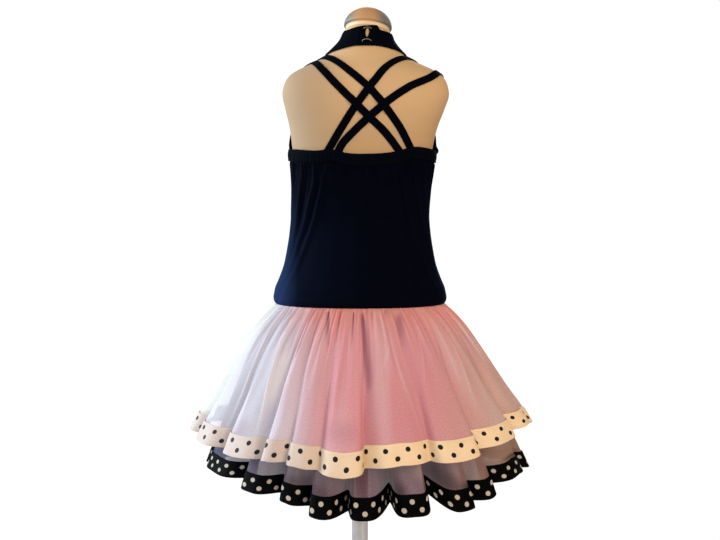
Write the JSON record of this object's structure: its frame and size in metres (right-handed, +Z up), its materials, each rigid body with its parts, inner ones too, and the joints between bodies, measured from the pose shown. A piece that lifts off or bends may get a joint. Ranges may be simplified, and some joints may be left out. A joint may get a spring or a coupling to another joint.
{
  "type": "ballet tutu on dress form",
  "caption": "Child's ballet tutu with halter bodice, crossed back straps and two gathered tulle tiers edged in ribbon, worn on a limbless dress form on a round stand.",
  "frame": {"origin": "centre of the base plate's underside, on the floor", "axes": "+Z up; -Y is the garment's front and +Y its back; +X is the wearer's left"},
  "size_m": [0.5319, 0.4483, 1.0421],
  "materials": {
    "jersey_black": "matt stretch jersey, black with a navy cast",
    "tulle_pink": "sheer salmon-pink tulle",
    "tulle_mauve": "sheer greyish mauve tulle",
    "ribbon_white": "cream ribbon with black dots, slight sheen",
    "ribbon_black": "black ribbon with off-white dots, slight sheen",
    "form_cream": "cream jersey cover, matt",
    "cap_grey": "grey-tan, satin",
    "hook_steel": "bright wire",
    "stand_metal": "satin grey paint"
  },
  "bodies": {
    "root": {"bodice_back": "jersey_black", "bodice_front": "jersey_black", "back_band": "jersey_black", "collar": "jersey_black", "strap_a": "jersey_black", "strap_b": "jersey_black", "strap_c": "jersey_black", "strap_d": "jersey_black", "collar_hook_lower": "hook_steel", "collar_hook_upper": "hook_steel", "upper_tier_back": "tulle_pink", "upper_tier_front": "tulle_pink", "lower_tier_back": "tulle_mauve", "lower_tier_front": "tulle_mauve", "upper_trim": "ribbon_white", "lower_trim": "ribbon_black", "form_torso": "form_cream", "neck_cap": "cap_grey", "pole": "stand_metal", "base_plate": "stand_metal"}
  },
  "joints": []
}
